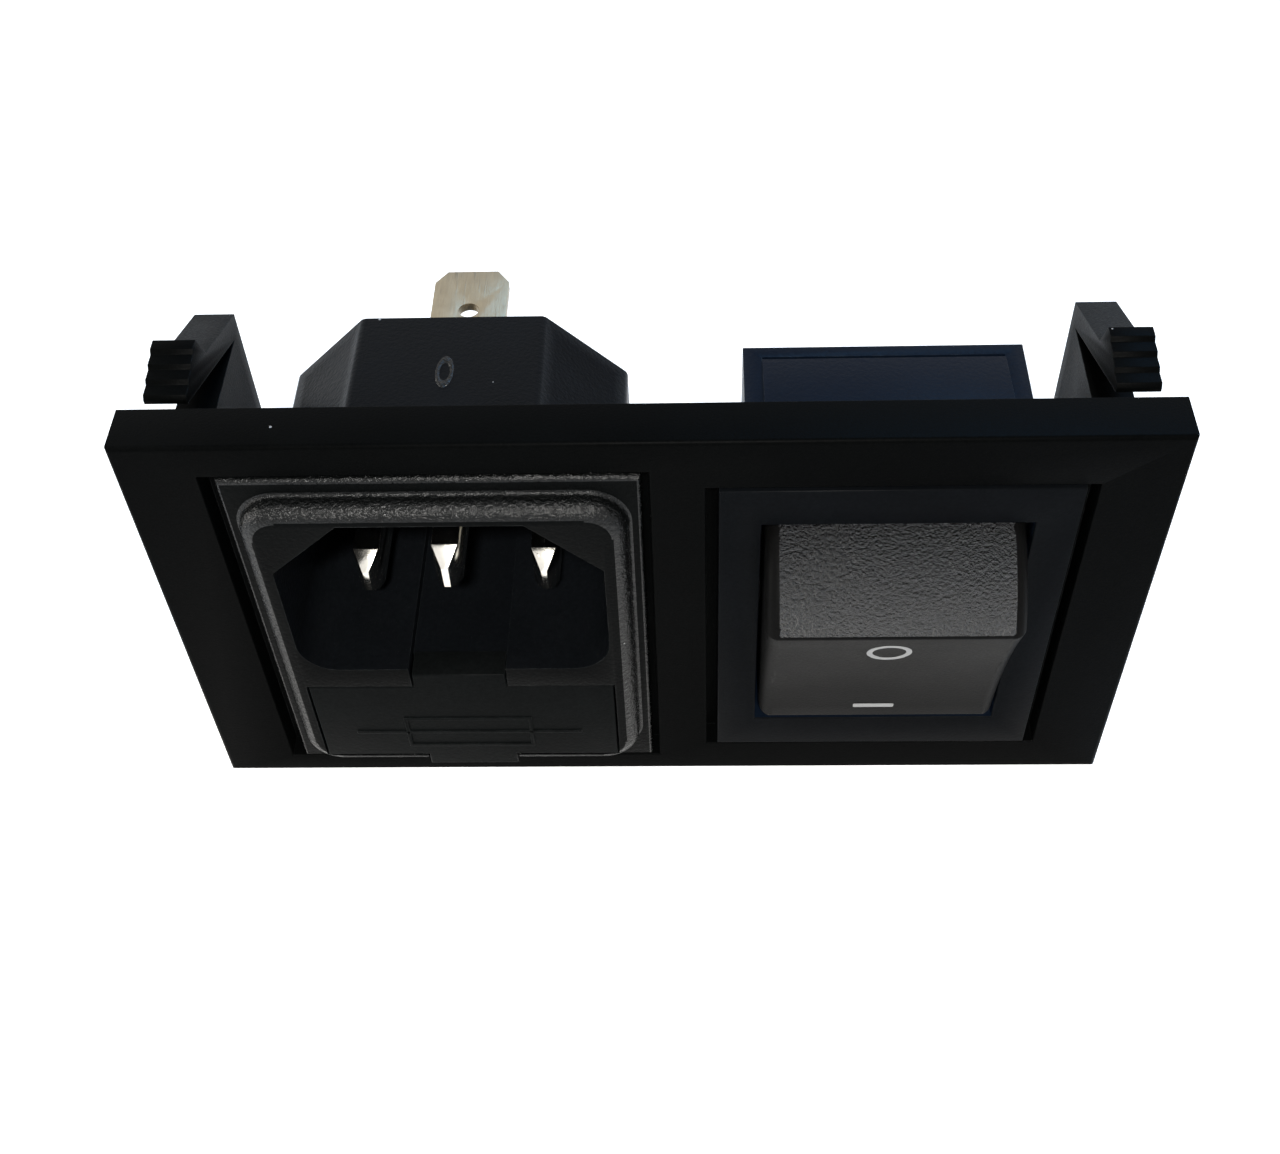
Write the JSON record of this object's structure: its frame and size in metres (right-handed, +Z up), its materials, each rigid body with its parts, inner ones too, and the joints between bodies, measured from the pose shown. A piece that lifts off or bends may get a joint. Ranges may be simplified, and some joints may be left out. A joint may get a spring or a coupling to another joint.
{
  "type": "power entry module",
  "caption": "Clip-in panel bezel carrying a mains inlet with a slide-out fuse drawer beside a two-pole rocker switch.",
  "frame": {"origin": "middle of the plate's rear face, where the plate seats on the panel", "axes": "+X to the right seen from the front, +Y into the panel, +Z up"},
  "size_m": [0.075, 0.0367, 0.0404],
  "materials": {
    "bezel_plastic": "fine grained, matte",
    "inlet_plastic": "semi-gloss with a slight orange peel",
    "drawer_plastic": "satin",
    "switch_plastic": "satin",
    "rocker_plastic": "coarse sparkling grain on the flanks, smooth face",
    "plunger_plastic": "natural nylon",
    "plated_pin": "bright nickel",
    "tinned_tab": "dull tinned, scratched",
    "copper_blade": "bare copper alloy",
    "silver_contact": "satin silver",
    "spring_wire": "drawn wire",
    "fuse_glass": "clear",
    "fuse_metal": "nickel plated"
  },
  "bodies": {
    "module": {"bezel": "bezel_plastic", "inlet_housing": "inlet_plastic", "inlet_rear_cover": "inlet_plastic", "earth_pin": "plated_pin", "line_pin": "plated_pin", "neutral_pin": "plated_pin", "line_tab": "tinned_tab", "switch_housing": "switch_plastic", "switch_base": "switch_plastic", "left_common_terminal": "tinned_tab", "right_common_terminal": "tinned_tab", "left_fixed_terminal": "tinned_tab", "right_fixed_terminal": "tinned_tab", "left_fixed_contact": "silver_contact", "right_fixed_contact": "silver_contact"},
    "drawer": {"fuse_drawer": "drawer_plastic", "fuse_glass": "fuse_glass", "fuse_caps": "fuse_metal", "fuse_wire": "fuse_metal", "spare_fuse_glass": "fuse_glass", "spare_fuse_caps": "fuse_metal", "spare_fuse_wire": "fuse_metal"},
    "rocker_lever": {"rocker": "rocker_plastic", "left_plunger": "plunger_plastic", "right_plunger": "plunger_plastic", "left_plunger_spring": "spring_wire", "right_plunger_spring": "spring_wire"},
    "left_blade": {"left_contact_blade": "copper_blade", "left_moving_contact": "silver_contact"},
    "right_blade": {"right_contact_blade": "copper_blade", "right_moving_contact": "silver_contact"}
  },
  "joints": [
    {"name": "drawer_slide", "type": "slide", "parent": "module", "child": "drawer", "axis": [0, -1, 0], "range_m": [0, 0.0165]},
    {"name": "rocker_tilt", "type": "hinge", "parent": "module", "child": "rocker_lever", "pos_m": [0.0179, 0.0007, -0.00035], "axis": [-1, 0, 0], "range_deg": [0, 32]},
    {"name": "left_blade_tilt", "type": "hinge", "parent": "module", "child": "left_blade", "pos_m": [0.0127, 0.0087, -0.00035], "axis": [1, 0, 0], "range_deg": [0, 16]},
    {"name": "right_blade_tilt", "type": "hinge", "parent": "module", "child": "right_blade", "pos_m": [0.0231, 0.0087, -0.00035], "axis": [1, 0, 0], "range_deg": [0, 16]}
  ],
  "couplings": [
    {"joint": "left_blade_tilt", "follows": "rocker_tilt", "ratio": 0.5},
    {"joint": "right_blade_tilt", "follows": "rocker_tilt", "ratio": 0.5}
  ]
}
